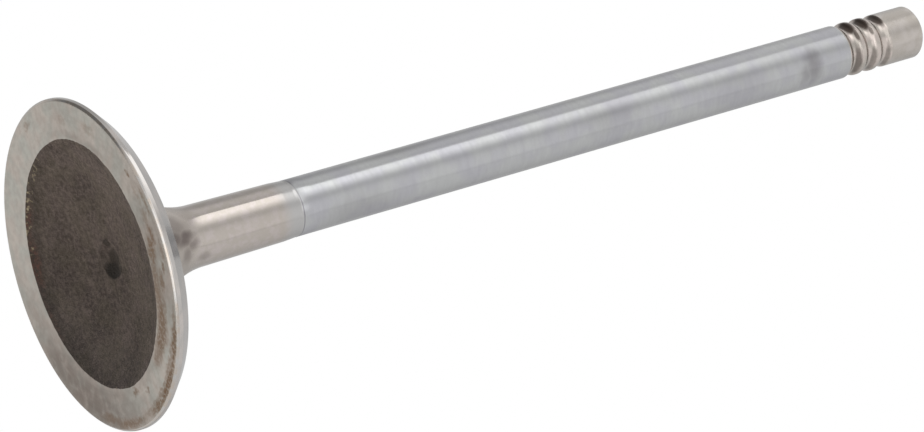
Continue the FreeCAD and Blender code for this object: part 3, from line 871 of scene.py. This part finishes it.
class VALVE_OT_turn(bpy.types.Operator):
    """Turn the valve from its half section and give every zone its finish"""

    bl_idname = "valve.turn"
    bl_label = "Turn the valve"

    def execute(self, context):
        colours = context.scene.valve_finish
        materials = {
            "forge_scale": forge_scale(colours),
            "faced_ring": faced_ring(colours),
            "broken_edge": broken_edge(colours),
            "ground_seat": ground_seat(colours),
            "turned_back": underhead(colours, "turned_steel_back", 0.30, 0.36),
            "polished_neck": underhead(colours, "polished_steel_neck", 0.09, 0.32),
            "hard_chrome": hard_chrome(colours),
            "keeper_groove": keeper_groove(colours),
            "ground_tip": ground_tip(colours),
        }
        valve = bpy.data.objects.new("valve_body", turn_mesh(context.scene.valve_sizes))
        context.scene.collection.objects.link(valve)
        for finish in FINISHES:
            valve.data.materials.append(materials[finish])
        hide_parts("valve")
        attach(valve, "root")
        return {"FINISHED"}


# The stage.

def bearing(turn, tilt):
    """The direction at a turn round the axis and a tilt above the floor, both in degrees."""
    turn, tilt = math.radians(turn), math.radians(tilt)
    return Vector((math.sin(turn) * math.cos(tilt), -math.cos(turn) * math.cos(tilt), math.sin(tilt)))


def add_lamp(name, direction, distance, side, level_at_valve):
    """A square lamp aimed at the head, as bright there as a plain white sky of the given level."""
    data = bpy.data.lights.new(name, "AREA")
    data.size = side
    # A sky of level 1 gives pi watts per square metre, and so does this lamp at its distance.
    data.energy = level_at_valve * math.pi * math.pi * distance ** 2
    lamp = bpy.data.objects.new(name, data)
    lamp.location = direction * distance
    lamp.rotation_mode = "QUATERNION"
    lamp.rotation_quaternion = (-direction).to_track_quat("-Z", "Y")
    lamp.visible_glossy = False
    bpy.context.scene.collection.objects.link(lamp)


def between(value, stops):
    """The value read off a list of (place, value) stops, straight between them."""
    for (low, first), (high, last) in zip(stops, stops[1:]):
        if value <= high:
            return first + (last - first) * (value - low) / (high - low)
    return stops[-1][1]


# Brightness of the tent's walls round the valve, as (turn in degrees, brightness), without the window.
# The dip by 47 degrees is the seam between two cloths, which the polished neck shows as a thin line.
TENT_WALLS = (
    (-180, 0.62), (-150, 0.69), (-130, 0.76), (-108, 0.82), (-88, 0.92), (-70, 0.80), (-40, 0.95),
    (-24, 0.95), (-12, 0.85), (2, 1.01), (14, 1.07), (36, 1.10), (43, 1.08), (47, 0.88), (51, 1.00),
    (84, 0.94), (108, 0.83), (132, 0.66), (180, 0.56),
)
# The tent is plain white below this tilt, and its walls fade in above it.
WALL_FOOT = -8.0
WALL_FADE = 10.0
# The window is sharp at its first edge, and fades towards its other edge and its top.
WINDOW_EDGE = -67.0
WINDOW_END = -22.0
WINDOW_FADE = 26.0
WINDOW_TOP = 30.0
WINDOW_TOP_FADE = 17.0

# Round patches on the tent as (turn, tilt, reach, fade) in degrees and the setting of their brightness.
TENT_PATCHES = (
    (8.0, -62.0, 28.5, 12.0, "low_window"),
    (150.0, -72.0, 14.0, 8.0, "low_window"),
    (-117.0, -27.0, 39.0, 12.0, "flag"),
    (-124.0, 25.0, 23.0, 12.0, "side_flag"),
    (-104.0, 57.0, 28.0, 14.0, "side_card"),
    (-30.0, -24.0, 26.0, 10.0, "groove_card"),
    (12.0, -12.0, 18.0, 12.0, "groove_card"),
    (180.0, 68.0, 26.0, 10.0, "top_card"),
)


def tent_light(turn, tilt, settings):
    """How bright the light tent is in a direction: walls, window beside the stem, then the patches."""
    glow = 1.0
    upper = min(1.0, max(0.0, (tilt - WALL_FOOT) / WALL_FADE))
    if upper > 0.0:
        walls = between(turn, TENT_WALLS)
        window = 0.0
        if WINDOW_EDGE < turn < WINDOW_END:
            fade = min(1.0, (WINDOW_END - turn) / WINDOW_FADE)
            lower = min(1.0, max(0.0, 1.0 - (tilt - WINDOW_TOP) / WINDOW_TOP_FADE))
            window = (settings.window - walls) * fade * lower
        glow += upper * (walls + window - 1.0)
    way = bearing(turn, tilt)
    for patch_turn, patch_tilt, reach, fade, name in TENT_PATCHES:
        off = math.degrees(way.angle(bearing(patch_turn, patch_tilt)))
        share = min(1.0, max(0.0, (reach - off) / fade))
        glow += (getattr(settings, name) - glow) * share
    return glow


# The lamps as (name, turn and tilt in degrees, distance and side in metres). Their level is a setting.
LAMPS = (
    ("dish_lamp", 120.0, -30.0, 0.9, 0.35),
    ("top_lamp", -50.0, 62.0, 1.3, 0.7),
)


def add_tent(settings):
    """A light tent all round the valve. Only the steel's reflections show it."""
    columns = 720
    rows = 90
    steepest = 88.0
    turns = [-180.0 + 360.0 * k / columns for k in range(columns)]
    tilts = [steepest * (2 * k / rows - 1) for k in range(rows + 1)]
    vertices = [bearing(turn, tilt) * settings.tent_radius for tilt in tilts for turn in turns]
    glow = [tent_light(turn, tilt, settings) for tilt in tilts for turn in turns]
    faces = [
        (row * columns + k, row * columns + (k + 1) % columns,
         (row + 1) * columns + (k + 1) % columns, (row + 1) * columns + k)
        for row in range(rows) for k in range(columns)
    ]
    mesh = bpy.data.meshes.new("light_tent")
    mesh.from_pydata(vertices, [], faces)
    mesh.attributes.new("glow", "FLOAT", "POINT").data.foreach_set("value", glow)
    tent = bpy.data.objects.new("light_tent", mesh)
    bpy.context.scene.collection.objects.link(tent)
    material, tree = new_tree("lit_tent_fabric")
    bright = put(tree, "Attribute", out="Fac", attribute_name="glow")
    put(tree, "OutputMaterial", {"Surface": put(tree, "Emission", {"Strength": bright})})
    mesh.materials.append(material)
    tent.visible_camera = False
    tent.visible_diffuse = False
    tent.visible_transmission = False
    tent.visible_shadow = False


def add_floor(settings):
    """A pale floor that shows from above only, keeps the valve's shadow and fades into the background."""
    radius = settings.floor_radius
    corners = [(x * radius, y * radius, 0.0) for x, y in ((-1, -1), (1, -1), (1, 1), (-1, 1))]
    mesh = bpy.data.meshes.new("floor")
    mesh.from_pydata(corners, [], [(0, 1, 2, 3)])
    floor = bpy.data.objects.new("floor", mesh)
    # Just below the face, so that the two never share a plane.
    floor.location.z = -0.05 * MM
    bpy.context.scene.collection.objects.link(floor)
    material, tree = new_tree("pale_floor")
    seen = put(tree, "LightPath", out="Is Camera Ray")
    below = put(tree, "NewGeometry", out="Backfacing")
    above = put(tree, "Math", {0: 1.0, 1: below}, operation="SUBTRACT")
    place = put(tree, "TexCoord", out="Object")
    reach = put(tree, "VectorMath", {0: place}, out="Value", operation="LENGTH")
    fade = put(
        tree, "MapRange",
        {"Value": reach, "From Min": 0.2 * radius, "From Max": 0.9 * radius, "To Min": 1.0, "To Max": 0.0},
        interpolation_type="SMOOTHSTEP",
    )
    shown = put(tree, "Math", {0: seen, 1: above}, operation="MULTIPLY")
    shown = put(tree, "Math", {0: shown, 1: fade}, operation="MULTIPLY")
    clear = put(tree, "BsdfTransparent")
    matt = put(tree, "BsdfDiffuse", {"Color": settings.floor})
    surface = put(tree, "MixShader", {0: shown, 1: clear, 2: matt})
    put(tree, "OutputMaterial", {"Surface": surface})
    mesh.materials.append(material)


def set_world(settings):
    """White behind the valve, and an even, weaker light on rough surfaces."""
    world = bpy.data.worlds.new("studio")
    bpy.context.scene.world = world
    world.use_nodes = True
    tree = world.node_tree
    tree.nodes.clear()
    seen = put(tree, "LightPath", out="Is Camera Ray")
    for ray in ("Is Glossy Ray", "Is Transmission Ray"):
        seen = put(tree, "Math", {0: seen, 1: put(tree, "LightPath", out=ray)}, operation="MAXIMUM")
    bright = put(tree, "MapRange", {"Value": seen, "To Min": settings.fill, "To Max": 1.0})
    sky = put(tree, "Background", {"Color": (1.0, 1.0, 1.0), "Strength": bright})
    put(tree, "OutputWorld", {"Surface": sky})


def add_camera(settings):
    """The camera at the photographer's place below the stem, rolled so that the stem lies across."""
    data = bpy.data.cameras.new("camera")
    data.lens = settings.lens
    data.clip_start = 10 * MM
    camera = bpy.data.objects.new("camera", data)
    bpy.context.scene.collection.objects.link(camera)
    place = Vector(settings.camera_place)
    facing = (Vector(settings.camera_aim) - place).to_track_quat("-Z", "Y")
    camera.location = place
    camera.rotation_mode = "QUATERNION"
    camera.rotation_quaternion = facing @ Quaternion((0.0, 0.0, 1.0), settings.camera_roll)
    bpy.context.scene.camera = camera


class VALVE_OT_set_stage(bpy.types.Operator):
    """Set the pale floor, the light tent, the lamps, the white surroundings and the camera"""

    bl_idname = "valve.set_stage"
    bl_label = "Set the stage"

    def execute(self, context):
        settings = context.scene.valve_stage
        add_floor(settings)
        add_tent(settings)
        set_world(settings)
        for name, turn, tilt, distance, side in LAMPS:
            add_lamp(name, bearing(turn, tilt), distance, side, getattr(settings, name))
        add_camera(settings)
        context.scene.view_settings.view_transform = "Standard"
        return {"FINISHED"}


class VALVE_PT_sidebar(bpy.types.Panel):
    """Sizes, finishes and stage of the engine valve"""

    bl_label = "Engine valve"
    bl_idname = "VALVE_PT_sidebar"
    bl_space_type = "VIEW_3D"
    bl_region_type = "UI"
    bl_category = "Valve"

    def draw(self, context):
        scene = context.scene
        for group, operator in (
            (scene.valve_sizes, None),
            (scene.valve_finish, VALVE_OT_turn),
            (scene.valve_stage, VALVE_OT_set_stage),
        ):
            column = self.layout.column(align=True)
            for name in group.__annotations__:
                column.prop(group, name)
            if operator:
                self.layout.operator(operator.bl_idname)


CLASSES = (ValveSizes, ValveFinish, StageSettings, VALVE_OT_turn, VALVE_OT_set_stage, VALVE_PT_sidebar)


def register():
    for entry in CLASSES:
        bpy.utils.register_class(entry)
    bpy.types.Scene.valve_sizes = PointerProperty(type=ValveSizes)
    bpy.types.Scene.valve_finish = PointerProperty(type=ValveFinish)
    bpy.types.Scene.valve_stage = PointerProperty(type=StageSettings)


def unregister():
    del bpy.types.Scene.valve_stage
    del bpy.types.Scene.valve_finish
    del bpy.types.Scene.valve_sizes
    for entry in reversed(CLASSES):
        bpy.utils.unregister_class(entry)


def main():
    register()
    bpy.ops.valve.turn()
    bpy.ops.valve.set_stage()


if __name__ == "__main__":
    main()
